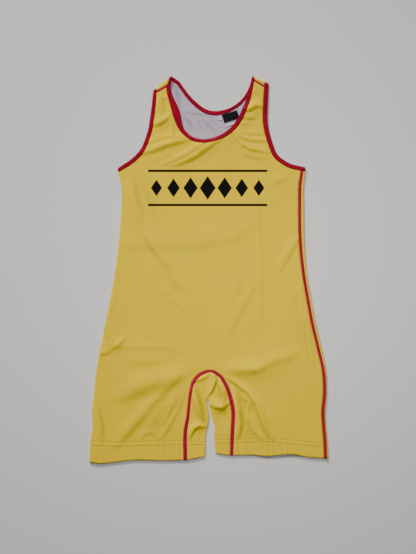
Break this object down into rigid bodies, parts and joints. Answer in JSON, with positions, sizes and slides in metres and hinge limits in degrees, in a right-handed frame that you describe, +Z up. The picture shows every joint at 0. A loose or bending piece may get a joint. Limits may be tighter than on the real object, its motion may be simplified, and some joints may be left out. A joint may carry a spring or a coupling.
{
  "type": "wrestling singlet",
  "caption": "Sleeveless one-piece knit sports suit with short legs, laid flat: bound scoop neck and armholes, flatlock seams and turned-up leg hems.",
  "frame": {"origin": "below the middle of the garment's outline, on the surface that it lies on", "axes": "+Z up off the surface, +Y along the body towards the shoulders, +X to the right as seen from above"},
  "size_m": [0.5242, 0.8518, 0.0076],
  "materials": {
    "knit": "yellow polyester knit, soft sheen",
    "binding": "red folded knit tape",
    "thread": "red flatlock thread",
    "black_label": "black woven label, blank",
    "pale_label": "pale satin label, blank"
  },
  "bodies": {
    "root": {"front_panel": "knit", "back_panel": "knit", "neck_binding": "binding", "armhole_binding_left": "binding", "armhole_binding_right": "binding", "side_seam_left": "thread", "side_seam_right": "thread", "inseam": "thread", "shoulder_seam_left": "thread", "shoulder_seam_right": "thread", "neck_label": "black_label", "care_label": "pale_label", "size_tab": "pale_label"}
  },
  "joints": []
}
